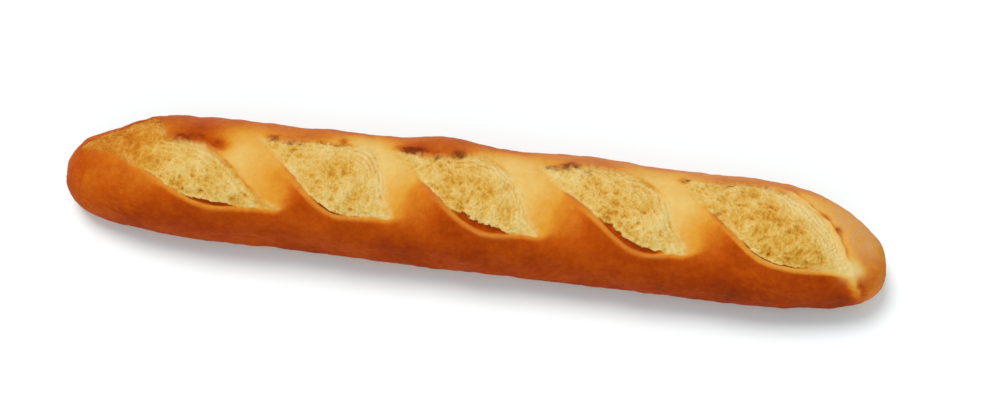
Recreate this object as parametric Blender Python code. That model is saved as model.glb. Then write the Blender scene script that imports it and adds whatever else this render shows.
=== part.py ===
"""A crusty baguette: one baked loaf with slanted openings along its top.

The loaf lies along X on its flat underside, with its front towards -Y and its crust's top
towards +Z. Its skin is first laid out flat, length along the loaf against girth around it,
and each opening is drawn there as a lens between two lips. The layout is filled with points
and joined into triangles, so that the lips are edges of the skin. The skin is then wrapped
round the loaf's form, and the crumb, rims and grooves are raised or sunk on it.
"""

import bmesh
import bpy
import numpy as np
from mathutils import Vector, noise
from mathutils.geometry import delaunay_2d_cdt

# Loaf, in metres
LENGTH = 0.500
WIDTH = 0.0770
HEIGHT = 0.0580
BLUNTNESS = (5.3, 5.2)  # left and right nose: a higher power is a blunter nose
NOSE_ROUNDNESS = 2.6
NOSE_HEIGHT = 0.27  # the nose tip's top, as a share of HEIGHT
WIDEST_AT = 0.46  # height of the widest line, as a share of HEIGHT
FOOT_SHARE = 1.12  # depth of the lower curve before it is cut flat, against the widest line's height
UNDERCUT = 2.5  # how soon the underside lifts off at the noses: a higher power is later
FLATTENED = 0.0005  # skin closer to the board than this is pressed flat on it
UPPER_POWER, LOWER_POWER = 2.0, 2.7  # section curves: 2 is an ellipse, more is squarer
NOSE_BEND = (0.0010, 0.0045)  # how far the left and right noses turn towards the front

# Openings: each runs from `start` to `end`, both (length, girth) on the laid-out skin, with
# girth counted from the top ridge towards the front. `front` and `back` are how far the two
# lips bow out from the straight line between them, at tenths of its length.
OPENINGS = (
    dict(
        start=(-0.240, -0.007),
        end=(-0.112, 0.030),
        front=(0.0045, 0.0050, 0.0085, 0.0105, 0.0130, 0.0150, 0.0142, 0.0100, 0.0050),
        back=(0.0170, 0.0280, 0.0320, 0.0176, 0.0178, 0.0180, 0.0148, 0.0082, 0.0022),
    ),
    dict(
        start=(-0.133, -0.015),
        end=(-0.044, 0.028),
        front=(0.0032, 0.0060, 0.0095, 0.0127, 0.0153, 0.0168, 0.0160, 0.0112, 0.0057),
        back=(0.0038, 0.0080, 0.0140, 0.0192, 0.0242, 0.0285, 0.0285, 0.0205, 0.0095),
    ),
    dict(
        start=(-0.050, -0.014),
        end=(0.044, 0.028),
        front=(0.0045, 0.0072, 0.0100, 0.0124, 0.0148, 0.0160, 0.0152, 0.0112, 0.0052),
        back=(0.0050, 0.0080, 0.0140, 0.0225, 0.0258, 0.0250, 0.0212, 0.0145, 0.0060),
    ),
    dict(
        start=(0.037, -0.017),
        end=(0.132, 0.028),
        front=(0.0055, 0.0080, 0.0092, 0.0106, 0.0126, 0.0148, 0.0158, 0.0136, 0.0070),
        back=(0.0045, 0.0135, 0.0190, 0.0225, 0.0245, 0.0244, 0.0212, 0.0145, 0.0058),
    ),
    dict(
        start=(0.123, -0.019),
        end=(0.2275, 0.0265),
        front=(0.0087, 0.0123, 0.0150, 0.0177, 0.0205, 0.0210, 0.0180, 0.0130, 0.0066),
        back=(0.0056, 0.0122, 0.0180, 0.0228, 0.0252, 0.0243, 0.0225, 0.0178, 0.0088),
    ),
)

# Bulges and hollows that make the loaf uneven: (length, girth, spread along, height)
BULGES = (
    (-0.165, -0.036, 0.035, 0.0020),
    (-0.020, -0.036, 0.020, 0.0048),
    (0.062, -0.036, 0.020, 0.0018),
    (0.175, -0.036, 0.028, 0.0016),
    (0.208, -0.030, 0.016, 0.0026),
    (-0.222, -0.028, 0.014, -0.0030),
    (-0.105, 0.058, 0.045, -0.0032),
    (-0.020, 0.058, 0.034, -0.0018),
    (0.028, 0.058, 0.022, -0.0014),
    (0.075, 0.058, 0.040, -0.0012),
    (0.180, 0.058, 0.030, 0.0022),
)
BULGE_ROUND = 0.020  # their spread round the loaf

# Relief, in metres above or below the loaf's form
SWELL = 0.0026  # the loaf swells around each opening
CRUMB_RISE = 0.0036  # the torn crumb's middle above its edges
CRUMB_LUMPS = 0.0010
RIM_RISE = 0.0022  # the front lip stands up as a rim
GROOVE_DEPTH = 0.0036  # behind the rim
BACK_LIP_RISE = 0.0010
CRUST_LUMPS = 0.0007

# Points on the skin
STEP = 0.0068  # between points on the plain crust
CRUMB_STEP = 0.0050  # between points inside an opening
LIP_STEP = 0.0040  # between points along a lip
RIM_LINES = (-0.0042, 0.0, 0.0026, 0.0060)  # how far inside the front lip each line runs
BACK_LINES = (-0.0036, 0.0, 0.0026, 0.0062)  # how far inside the back lip each line runs

CRUST_COLOUR = (0.60, 0.29, 0.10, 1.0)
CRUST_ROUGHNESS = 0.62


def smooth(edge0, edge1, x):
    """0 below edge0 and 1 above edge1, with an S-curve between them."""
    share = np.clip((x - edge0) / (edge1 - edge0), 0.0, 1.0)
    return share * share * (3.0 - 2.0 * share)


def ridge(x, centre, half_width):
    """A rounded ridge: 1 at its centre, and near 0 beyond twice its half width."""
    return np.exp(-(((x - centre) / half_width) ** 2))


class Form:
    """The loaf's plain form, and the layout of its skin as length against girth."""

    def __init__(self, stations=241, spokes=361):
        self.t = np.sin(np.linspace(-np.pi / 2, np.pi / 2, stations))
        angles = np.linspace(-np.pi, np.pi, spokes)
        rings = self.section(self.t[:, None], angles[None, :])
        steps = np.linalg.norm(np.diff(rings, axis=1), axis=-1)
        arcs = np.concatenate([np.zeros((stations, 1)), np.cumsum(steps, axis=1)], axis=1)
        self.ring_length = arcs[:, -1]
        self.girth = self.ring_length.max()
        shares = arcs / np.maximum(self.ring_length, 1e-9)[:, None] - 0.5
        shares[0], shares[-1] = shares[1], shares[-2]
        self.shares = np.linspace(-0.5, 0.5, spokes)
        self.angles = np.array([np.interp(self.shares, row, angles) for row in shares])
        side = np.stack([self.t * LENGTH / 2, WIDTH / 2 * self.fullness(self.t)])
        runs = np.hypot(*np.diff(side, axis=1))
        self.run = np.concatenate([[0.0], np.cumsum(runs)])
        self.run -= self.run[-1] / 2
        flat = rings[..., 2] <= 0.0
        self.foot_share = np.array(
            [np.abs(s[f]).min() if f.any() else 0.5 for s, f in zip(shares, flat)]
        )

    @staticmethod
    def fullness(t):
        """Share of the full section that is left at t, from -1 at the left nose to 1."""
        power = np.where(t < 0, *BLUNTNESS)
        return np.clip(1.0 - np.abs(t) ** power, 0.0, 1.0) ** (1.0 / NOSE_ROUNDNESS)

    def section(self, t, angle):
        """Points on the form at t, where angle 0 is the top and turns towards the front."""
        full = self.fullness(t)
        half = np.maximum(WIDTH / 2 * full, 1e-9)
        top = HEIGHT * (NOSE_HEIGHT + (1 - NOSE_HEIGHT) * full)
        widest = HEIGHT * WIDEST_AT * (0.55 + 0.45 * full)
        upper = np.cos(angle) > 0
        depth = widest * FOOT_SHARE * (1.0 - (1.0 - full) ** UNDERCUT)
        rise = np.maximum(np.where(upper, top - widest, depth), 1e-9)
        power = np.where(upper, UPPER_POWER, LOWER_POWER)
        reach = (
            (np.abs(np.sin(angle)) / half) ** power + (np.abs(np.cos(angle)) / rise) ** power
        ) ** (-1.0 / power)
        reach = np.where(full > 0, reach, 0.0)
        bend = np.where(t < 0, *NOSE_BEND) * smooth(0.72, 1.0, np.abs(t))
        y = -reach * np.sin(angle) - bend
        z = np.maximum(widest + reach * np.cos(angle), 0.0)
        return np.stack(np.broadcast_arrays(t * LENGTH / 2, y, z), axis=-1)

    def run_at(self, x):
        """Length along the skin's side at x."""
        return np.interp(x / (LENGTH / 2), self.t, self.run)

    def x_at(self, run):
        return np.interp(run, self.run, self.t) * LENGTH / 2

    def foot_at(self, run):
        """Girth from the top ridge to the edge of the flat underside."""
        return np.interp(run, self.run, self.foot_share) * self.girth

    def ring_at(self, run):
        """Real length once round the loaf."""
        return np.interp(run, self.run, self.ring_length)

    def wrap(self, run, girth):
        """Points of the plain form at places on the layout."""
        t = np.interp(run, self.run, self.t)
        row = np.clip(np.interp(run, self.run, np.arange(len(self.t))), 0, len(self.t) - 1.001)
        column = (np.clip(girth / self.girth, -0.5, 0.5) + 0.5) * (len(self.shares) - 1.001)
        i, j = row.astype(int), column.astype(int)
        f, g = row - i, column - j
        near = self.angles[i, j] * (1 - g) + self.angles[i, j + 1] * g
        far = self.angles[i + 1, j] * (1 - g) + self.angles[i + 1, j + 1] * g
        return self.section(t, near * (1 - f) + far * f)

    def normals(self, run, girth, reach=0.002):
        """Outward directions of the plain form at places on the layout."""
        inner = np.clip(run, self.run[0] + 2 * reach, self.run[-1] - 2 * reach)
        along = self.wrap(inner + reach, girth) - self.wrap(inner - reach, girth)
        half = self.girth / 2
        turned = [(girth + d + half) % self.girth - half for d in (reach, -reach)]
        around = self.wrap(inner, turned[0]) - self.wrap(inner, turned[1])
        normal = np.cross(around, along)
        return normal / np.maximum(np.linalg.norm(normal, axis=-1, keepdims=True), 1e-12)


class Opening:
    """One slanted opening, where the crust has torn apart and the crumb has risen."""

    def __init__(self, start, end, front, back):
        self.start, self.end = np.array(start), np.array(end)
        chord = self.end - self.start
        self.length = np.hypot(*chord)
        self.along = chord / self.length
        self.across = np.array([-self.along[1], self.along[0]])
        self.stations = np.linspace(0.0, 1.0, len(front) + 2)
        self.front = np.array([0.0, *front, 0.0])
        self.back = np.array([0.0, *back, 0.0])

    def bow(self, share, bows):
        """How far a lip bows out at a share of the opening's length, as a smooth curve."""
        place = np.clip(share, 0.0, 1.0) * (len(bows) - 1)
        i = np.minimum(place.astype(int), len(bows) - 2)
        f = place - i
        slopes = np.gradient(bows)
        slopes[0], slopes[-1] = 1.6 * bows[1], -1.6 * bows[-2]
        return (
            bows[i] * (1 + 2 * f) * (1 - f) ** 2
            + slopes[i] * f * (1 - f) ** 2
            + bows[i + 1] * f * f * (3 - 2 * f)
            - slopes[i + 1] * f * f * (1 - f)
        )

    def place(self, x, girth):
        """(share along, distance inside the front lip, distance inside the back lip)."""
        offset = np.stack([x, girth], axis=-1) - self.start
        share = offset @ self.along / self.length
        out = offset @ self.across
        beyond = np.maximum(np.maximum(-share, share - 1.0), 0.0) * self.length
        return (
            share,
            self.bow(share, self.front) - out - beyond,
            self.bow(share, self.back) + out - beyond,
        )

    def line(self, bows, side, inside):
        """Points along a lip, or along a line at some distance inside or outside it."""
        fine = np.linspace(0.0, 1.0, 400)
        lip = self.start + self.length * fine[:, None] * self.along
        lip = lip + side * self.bow(fine, bows)[:, None] * self.across
        tangent = np.gradient(lip, axis=0)
        tangent /= np.linalg.norm(tangent, axis=1, keepdims=True)
        normal = np.stack([-tangent[:, 1], tangent[:, 0]], axis=1) * side
        line = lip - normal * inside
        runs = np.concatenate([[0.0], np.cumsum(np.hypot(*np.diff(line, axis=0).T))])
        count = max(int(round(runs[-1] / LIP_STEP)), 3)
        even = np.linspace(0.0, runs[-1], count + 1)
        return np.stack([np.interp(even, runs, line[:, k]) for k in (0, 1)], axis=1)

    def relief(self, x, girth):
        """Height above the plain form that this opening adds at each place."""
        share, front, back = self.place(x, girth)
        inside = np.minimum(front, back)
        room = smooth(0.0, 0.010, inside)
        mound = np.exp(-((np.maximum(-inside, 0.0) / 0.022) ** 2)) * ridge(share, 0.5, 0.62)
        rise = (1 - np.exp(-np.maximum(front, 0) / 0.006)) * (
            1 - np.exp(-np.maximum(back, 0) / 0.008)
        )
        open_front = smooth(0.08, 0.42, share) * (1 - smooth(0.80, 0.97, share))
        open_back = smooth(0.04, 0.20, share) * (1 - smooth(0.50, 0.70, share))
        within = smooth(-0.0020, 0.0020, back)
        return (
            SWELL * mound
            + CRUMB_RISE * rise * (0.35 + 0.65 * room)
            + RIM_RISE * open_front * ridge(front, 0.0, 0.0022) * within
            - GROOVE_DEPTH * open_front * ridge(front, 0.0026, 0.0022) * within
            + BACK_LIP_RISE * open_back * ridge(back, 0.0, 0.0028)
            - BACK_LIP_RISE * open_back * ridge(back, 0.0026, 0.0020)
        )


class Skin:
    """The loaf's skin: its points on the layout, its triangles, and its solid shape."""

    def __init__(self, form, openings):
        self.form, self.openings = form, openings
        self.points = []
        self.lips = []

    def add_lips(self):
        """Lines of points along both lips of each opening, the lips themselves as edges."""
        for opening in self.openings:
            for bows, side, lines in (
                (opening.front, 1, RIM_LINES),
                (opening.back, -1, BACK_LINES),
            ):
                for inside in lines:
                    line = opening.line(bows, side, inside)
                    if inside == 0.0:
                        self.add_edges(line)
                        continue
                    _, front, back = opening.place(line[:, 0], line[:, 1])
                    other = back if side > 0 else front
                    clear = other > abs(inside) * 0.8 if inside > 0 else other > -0.001
                    for point in line[clear]:
                        self.add_point(point, 0.5 * min(LIP_STEP, max(abs(inside), 0.0022)))

    def add_edges(self, line):
        first = len(self.points)
        for point in line:
            twin = self.twin(point)
            self.points.append(point if twin is None else self.points[twin])
        self.lips += [(first + i, first + i + 1) for i in range(len(line) - 1)]

    def twin(self, point):
        """Index of a point already at this place."""
        for i, other in enumerate(self.points):
            if abs(other[0] - point[0]) + abs(other[1] - point[1]) < 1e-7:
                return i
        return None

    def add_point(self, point, room):
        """Adds a point unless another is within `room` of it."""
        if self.points:
            gaps = np.hypot(*(np.array(self.points) - point).T)
            if gaps.min() < room:
                return
        self.points.append(point)

    def fill(self):
        """Rows of points over the rest of the skin, closer together on the crumb."""
        run0, run1 = self.form.run[0], self.form.run[-1]
        rows = int(round((run1 - run0) / STEP))
        for row, run in enumerate(np.linspace(run0, run1, rows + 1)[1:-1]):
            foot = self.form.foot_at(run)
            ring = max(self.form.ring_at(run), 0.03)
            count = max(int(round(2 * foot / self.form.girth * ring / STEP)), 6)
            shares = np.arange(count + 1) / count + (0.5 / count if row % 2 else 0.0)
            girths = [g for g in (2 * shares - 1) * foot if abs(g) < foot * 0.995]
            for girth in girths:
                point = np.array([self.form.x_at(run), girth])
                if max(self.inside(point)) < 0.001:
                    self.add_point(point, 0.55 * STEP)
            x = self.form.x_at(run)
            half = self.form.girth / 2
            self.points += [np.array([x, g]) for g in sorted({-half, -foot, foot, half})]
        for opening in self.openings:
            corners = np.concatenate(
                [opening.line(opening.front, 1, 0.0), opening.line(opening.back, -1, 0.0)]
            )
            low, high = corners.min(axis=0), corners.max(axis=0)
            for row, girth in enumerate(np.arange(low[1], high[1], CRUMB_STEP * 0.87)):
                for x in np.arange(low[0], high[0], CRUMB_STEP) + row % 2 * CRUMB_STEP / 2:
                    _, front, back = opening.place(np.array(x), np.array(girth))
                    if min(front, back) > 0.004:
                        self.add_point(np.array([x, girth]), 0.6 * CRUMB_STEP)

    def inside(self, point):
        """How far inside each opening a point is."""
        x, girth = np.array(point[0]), np.array(point[1])
        return [float(min(o.place(x, girth)[1:])) for o in self.openings]

    def triangles(self):
        """Joins the points: (layout points, triangles), closed round the loaf and at its noses."""
        points = np.array(self.points)
        layout = np.stack([self.form.run_at(points[:, 0]), points[:, 1]], axis=1)
        run0, run1 = self.form.run[0], self.form.run[-1]
        half = self.form.girth / 2
        ends = [(run, g) for run in (run0, run1) for g in np.linspace(-half, half, 7)]
        layout = np.concatenate([layout, ends])
        places, _, triangles, _, _, _ = delaunay_2d_cdt(
            [Vector(p) for p in layout], self.lips, [], 0, 1e-7, False
        )
        places = np.array([tuple(p) for p in places])
        same = np.arange(len(places))
        seam = np.flatnonzero(np.abs(places[:, 1] - half) < 1e-6)
        start = np.flatnonzero(np.abs(places[:, 1] + half) < 1e-6)
        for i in seam:
            same[i] = start[np.abs(places[start, 0] - places[i, 0]).argmin()]
        for run in (run0, run1):
            nose = np.flatnonzero(np.abs(places[:, 0] - run) < 1e-6)
            same[nose] = nose[0]
        faces = [tuple(same[i] for i in face) for face in triangles]
        return places, [face for face in faces if len(set(face)) == 3]

    def relief(self, places, solid):
        """Height of every point above the plain form."""
        x, girth = self.form.x_at(places[:, 0]), places[:, 1]
        lumps = [
            noise.noise(Vector(p) * 55.0) + 0.5 * noise.noise(Vector(p) * 130.0) for p in solid
        ]
        tears = [noise.noise(Vector((p[0] * 190.0, p[1] * 75.0, p[2] * 75.0))) for p in solid]
        crumb = np.zeros(len(places))
        height = np.zeros(len(places))
        for opening in self.openings:
            height += opening.relief(x, girth)
            _, front, back = opening.place(x, girth)
            crumb = np.maximum(crumb, smooth(0.001, 0.006, np.minimum(front, back)))
        for at, round_it, along, rise in BULGES:
            height += rise * ridge(x, at, along) * ridge(girth, round_it, BULGE_ROUND)
        height += CRUST_LUMPS * np.array(lumps) * (1 - crumb)
        height += CRUMB_LUMPS * np.array(tears) * crumb
        return height * smooth(0.0, 0.004, solid[:, 2])

    def solid(self):
        """(corner positions, triangles) of the finished loaf."""
        self.add_lips()
        self.fill()
        places, faces = self.triangles()
        run, girth = places.T
        solid = self.form.wrap(run, girth)
        solid += self.form.normals(run, girth) * self.relief(places, solid)[:, None]
        solid[solid[:, 2] < FLATTENED, 2] = 0.0
        solid[:, 1] -= (solid[:, 1].min() + solid[:, 1].max()) / 2
        return solid, faces


def baked_crust():
    """The crust's material."""
    material = bpy.data.materials.new("baked_crust")
    material.use_nodes = True
    shader = material.node_tree.nodes["Principled BSDF"]
    shader.inputs["Base Color"].default_value = CRUST_COLOUR
    shader.inputs["Roughness"].default_value = CRUST_ROUGHNESS
    return material


def build_loaf():
    """The loaf as one closed body, with its underside as one flat face."""
    corners, faces = Skin(Form(), [Opening(**opening) for opening in OPENINGS]).solid()
    shape = bmesh.new()
    verts = [shape.verts.new(corner) for corner in corners]
    for face in faces:
        shape.faces.new([verts[i] for i in face])
    bmesh.ops.delete(shape, geom=[v for v in verts if not v.link_faces], context="VERTS")
    bmesh.ops.recalc_face_normals(shape, faces=shape.faces[:])
    if shape.calc_volume(signed=True) < 0:
        bmesh.ops.reverse_faces(shape, faces=shape.faces[:])
    underside = [f for f in shape.faces if all(v.co.z < 1e-6 for v in f.verts)]
    bmesh.ops.dissolve_faces(shape, faces=underside, use_verts=True)
    mesh = bpy.data.meshes.new("baguette")
    shape.to_mesh(mesh)
    shape.free()
    mesh.materials.append(baked_crust())
    loaf = bpy.data.objects.new("baguette", mesh)
    bpy.context.scene.collection.objects.link(loaf)
    return loaf


for old in list(bpy.data.objects):
    bpy.data.objects.remove(old, do_unlink=True)
build_loaf()
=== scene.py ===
"""Looks of a crusty baguette: one detailed skin with torn openings, on a pale studio floor."""

import logging
import math
from dataclasses import dataclass
from enum import Enum
from itertools import product
from typing import Any

import bpy
import numpy as np
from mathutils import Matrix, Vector
from mathutils.geometry import delaunay_2d_cdt


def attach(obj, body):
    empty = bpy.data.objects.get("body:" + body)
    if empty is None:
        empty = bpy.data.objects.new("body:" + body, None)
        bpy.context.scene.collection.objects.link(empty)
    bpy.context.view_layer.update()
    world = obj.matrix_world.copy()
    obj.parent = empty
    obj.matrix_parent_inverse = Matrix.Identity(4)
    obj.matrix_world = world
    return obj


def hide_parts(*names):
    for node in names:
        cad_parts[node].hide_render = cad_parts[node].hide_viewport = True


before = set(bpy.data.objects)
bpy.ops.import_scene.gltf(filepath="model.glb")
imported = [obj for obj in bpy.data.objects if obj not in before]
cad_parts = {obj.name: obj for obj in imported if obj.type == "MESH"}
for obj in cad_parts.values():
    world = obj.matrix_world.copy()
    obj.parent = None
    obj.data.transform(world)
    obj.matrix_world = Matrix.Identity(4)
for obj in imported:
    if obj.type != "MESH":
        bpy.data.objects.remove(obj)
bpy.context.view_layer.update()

log = logging.getLogger("baguette")

Array = np.ndarray
Colour = tuple[float, float, float, float]
Pair = tuple[float, float]
Row = tuple[float, ...]


def tint(red: int, green: int, blue: int) -> Colour:
    """Turns a colour's display values into the linear ones that shaders take.

    Args:
        red: Its red, from 0 to 255.
        green: Its green.
        blue: Its blue.

    Returns:
        The linear colour.
    """
    linear = [
        c / 12.92 if c <= 0.04045 else ((c + 0.055) / 1.055) ** 2.4
        for c in (red / 255, green / 255, blue / 255)
    ]
    return (*linear, 1.0)


def smooth(low: float, high: float, x: Array) -> Array:
    """0 below low and 1 above high, with an S-curve between them."""
    share = np.clip((x - low) / (high - low), 0.0, 1.0)
    return share * share * (3.0 - 2.0 * share)


def between(x: Array, start: float, end: float, fade: float) -> Array:
    """1 from start to end and 0 beyond, where each change takes twice the fade."""
    return smooth(start - fade, start + fade, x) * (1 - smooth(end - fade, end + fade, x))


def ridge(x: Array, centre: float, before: float, after: float | None = None) -> Array:
    """A rounded ridge, 1 at its centre, whose two flanks may differ in width."""
    width = np.where(x < centre, before, before if after is None else after)
    return np.exp(-(((x - centre) / width) ** 2))


def blend(a: Array | float, b: Array | float, share: Array) -> Array:
    """a where share is 0 and b where it is 1."""
    return a + (b - a) * share


# --------------------------------------------------------------------------- node trees


class Sock:
    """One value in a node tree, so that sums of values are written as Python sums."""

    def __init__(self, tree: "Tree", socket: bpy.types.NodeSocket) -> None:
        """Keeps the tree and its socket."""
        self.tree = tree
        self.socket = socket

    def math(self, operation: str, *values: Any) -> "Sock":
        """A Math node on these values."""
        return self.tree.node(
            "ShaderNodeMath", {"operation": operation}, dict(enumerate(values))
        )

    def __add__(self, other: Any) -> "Sock":
        """self + other."""
        return self.math("ADD", self, other)

    def __radd__(self, other: Any) -> "Sock":
        """other + self."""
        return self.math("ADD", other, self)

    def __sub__(self, other: Any) -> "Sock":
        """self - other."""
        return self.math("SUBTRACT", self, other)

    def __rsub__(self, other: Any) -> "Sock":
        """other - self."""
        return self.math("SUBTRACT", other, self)

    def __mul__(self, other: Any) -> "Sock":
        """self * other."""
        return self.math("MULTIPLY", self, other)

    def __rmul__(self, other: Any) -> "Sock":
        """other * self."""
        return self.math("MULTIPLY", other, self)

    def clamped(self) -> "Sock":
        """The value, held between 0 and 1."""
        return self.ramped(0.0, 1.0)

    def ramped(self, low: float, high: float, kind: str = "LINEAR") -> "Sock":
        """0 where the value is low and 1 where it is high."""
        settings = {"interpolation_type": kind}
        return self.tree.node(
            "ShaderNodeMapRange", settings, {"Value": self, "From Min": low, "From Max": high}
        )


class Tree:
    """A node tree that is being built."""

    def __init__(self, tree: bpy.types.NodeTree) -> None:
        """Keeps the tree."""
        self.tree = tree

    def node(
        self,
        kind: str,
        settings: dict[str, Any] | None = None,
        values: dict[Any, Any] | None = None,
        output: int | str = 0,
    ) -> Sock:
        """Adds one node.

        Args:
            kind: The node's type.
            settings: Its own settings, set first. A ramp's are "stops", as (place, colour).
            values: The values or links of its sockets, by name or number.
            output: The output that is wanted.

        Returns:
            The wanted output.
        """
        made = self.tree.nodes.new(kind)
        for name, setting in (settings or {}).items():
            if name == "stops":
                self.set_stops(made.color_ramp, setting)
            else:
                setattr(made, name, setting)
        for name, value in (values or {}).items():
            if isinstance(value, Sock):
                self.tree.links.new(value.socket, made.inputs[name])
            else:
                made.inputs[name].default_value = value
        return Sock(self, made.outputs[output])

    @staticmethod
    def set_stops(ramp: bpy.types.ColorRamp, stops: tuple[tuple[float, Colour], ...]) -> None:
        """Gives a colour ramp its stops.

        Args:
            ramp: The ramp.
            stops: Its places and colours.
        """
        while len(ramp.elements) < len(stops):
            ramp.elements.new(1.0)
        for element, (place, colour) in zip(ramp.elements, stops):
            element.position = place
            element.color = colour

    def mix(self, factor: Any, a: Any, b: Any) -> Sock:
        """Colour a where the factor is 0 and b where it is 1."""
        return self.node("ShaderNodeMix", {"data_type": "RGBA"}, {0: factor, 6: a, 7: b}, 2)

    def noise(self, place: Sock, scale: float, detail: float = 3.0, rough: float = 0.55) -> Sock:
        """Smooth noise, about 0.5 on average."""
        values = {"Vector": place, "Scale": scale, "Detail": detail, "Roughness": rough}
        return self.node("ShaderNodeTexNoise", {}, values)


class ShaderTree(Tree):
    """A material's tree."""

    def __init__(self, material: bpy.types.Material) -> None:
        """Empties the material's tree and starts again."""
        material.use_nodes = True
        material.node_tree.nodes.clear()
        super().__init__(material.node_tree)

    def attribute(self, name: str) -> Sock:
        """A value stored on the piece."""
        return self.node("ShaderNodeAttribute", {"attribute_name": name}, {}, "Fac")

    def shade(self, stops: tuple[tuple[float, Colour], ...], tone: Sock) -> Sock:
        """The colour that a tone, from 0 to 1, has on a ramp."""
        return self.node("ShaderNodeValToRGB", {"stops": stops}, {"Fac": tone})

    def finish(self, values: dict[str, Any]) -> None:
        """Ends the tree in a surface.

        Args:
            values: The values or links of the surface's sockets, by name.
        """
        surface = self.node("ShaderNodeBsdfPrincipled", {}, values)
        end = self.tree.nodes.new("ShaderNodeOutputMaterial")
        self.tree.links.new(surface.socket, end.inputs["Surface"])


class ShapeTree(Tree):
    """A Geometry Nodes tree with named inputs."""

    def __init__(self, name: str) -> None:
        """Starts a tree that takes one shape and returns one."""
        super().__init__(bpy.data.node_groups.new(name, "GeometryNodeTree"))
        for way in ("INPUT", "OUTPUT"):
            self.tree.interface.new_socket(
                "Geometry", in_out=way, socket_type="NodeSocketGeometry"
            )
        self.entry = self.tree.nodes.new("NodeGroupInput")
        self.shape = Sock(self, self.entry.outputs["Geometry"])

    def input(self, name: str) -> Sock:
        """Adds a named input, a number, and returns it."""
        self.tree.interface.new_socket(name, in_out="INPUT", socket_type="NodeSocketFloat")
        return Sock(self, self.entry.outputs[name])

    def stored(self, name: str) -> Sock:
        """A value stored on the shape's points."""
        return self.node("GeometryNodeInputNamedAttribute", {}, {"Name": name})

    def finish(self, shape: Sock, material: bpy.types.Material) -> None:
        """Ends the tree with real geometry that has its material.

        Args:
            shape: The geometry that the tree has made.
            material: Its material.
        """
        real = self.node("GeometryNodeRealizeInstances", {}, {"Geometry": shape})
        dressed = self.node(
            "GeometryNodeSetMaterial", {}, {"Geometry": real, "Material": material}
        )
        end = self.tree.nodes.new("NodeGroupOutput")
        self.tree.links.new(dressed.socket, end.inputs["Geometry"])

    def apply(
        self, piece: bpy.types.Object, inputs: dict[str, float], name: str
    ) -> bpy.types.Object:
        """Runs the tree on a piece.

        Args:
            piece: The piece whose shape goes in. It is removed.
            inputs: The tree's inputs, by name.
            name: The new piece's name.

        Returns:
            A new piece with a plain mesh.
        """
        modifier = piece.modifiers.new(name, "NODES")
        modifier.node_group = self.tree
        for item in self.tree.interface.items_tree:
            if item.item_type == "SOCKET" and item.in_out == "INPUT" and item.name in inputs:
                modifier[item.identifier] = inputs[item.name]
        graph = bpy.context.evaluated_depsgraph_get()
        mesh = bpy.data.meshes.new_from_object(piece.evaluated_get(graph), depsgraph=graph)
        bpy.data.objects.remove(piece, do_unlink=True)
        mesh.name = name
        return place_piece(name, mesh)


def place_piece(name: str, data: Any) -> bpy.types.Object:
    """Puts a mesh, light or camera in the scene, at the origin.

    Args:
        name: The piece's name.
        data: Its mesh, light or camera.

    Returns:
        The piece.
    """
    piece = bpy.data.objects.new(name, data)
    bpy.context.scene.collection.objects.link(piece)
    return piece


# --------------------------------------------------------------------------- the loaf's form


@dataclass
class Roughness:
    """Smooth seeded noise over space, the same on every run."""

    seed: int
    cells: int = 256
    strength: float = 1.7
    finer: float = 2.1
    weaker: float = 0.5
    shift: float = 7.3

    def __post_init__(self) -> None:
        """Draws the noise's own tables."""
        draw = np.random.default_rng(self.seed)
        self.table = draw.permutation(self.cells)
        slopes = draw.normal(size=(self.cells, 3))
        self.slopes = slopes / np.linalg.norm(slopes, axis=1, keepdims=True)

    def at(self, places: Array) -> Array:
        """Noise that changes over a distance of one unit.

        Args:
            places: Points in space.

        Returns:
            Values of about -1 to 1.
        """
        cell = np.floor(places).astype(int)
        inner = places - cell
        fade = inner**3 * (inner * (inner * 6 - 15) + 10)
        total = np.zeros(len(places))
        for corner in product((0, 1), repeat=3):
            drawn = np.zeros(len(places), int)
            for number in (cell + corner).T:
                drawn = self.table[(drawn + number) % self.cells]
            weight = np.prod(np.where(corner, fade, 1 - fade), axis=1)
            total += weight * ((inner - corner) * self.slopes[drawn]).sum(axis=1)
        return total * self.strength

    def layered(self, places: Array, layers: int = 3) -> Array:
        """Noise with finer and weaker noise on it."""
        return sum(
            self.at(places * self.finer**k + self.shift * k) * self.weaker**k
            for k in range(layers)
        )


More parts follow.
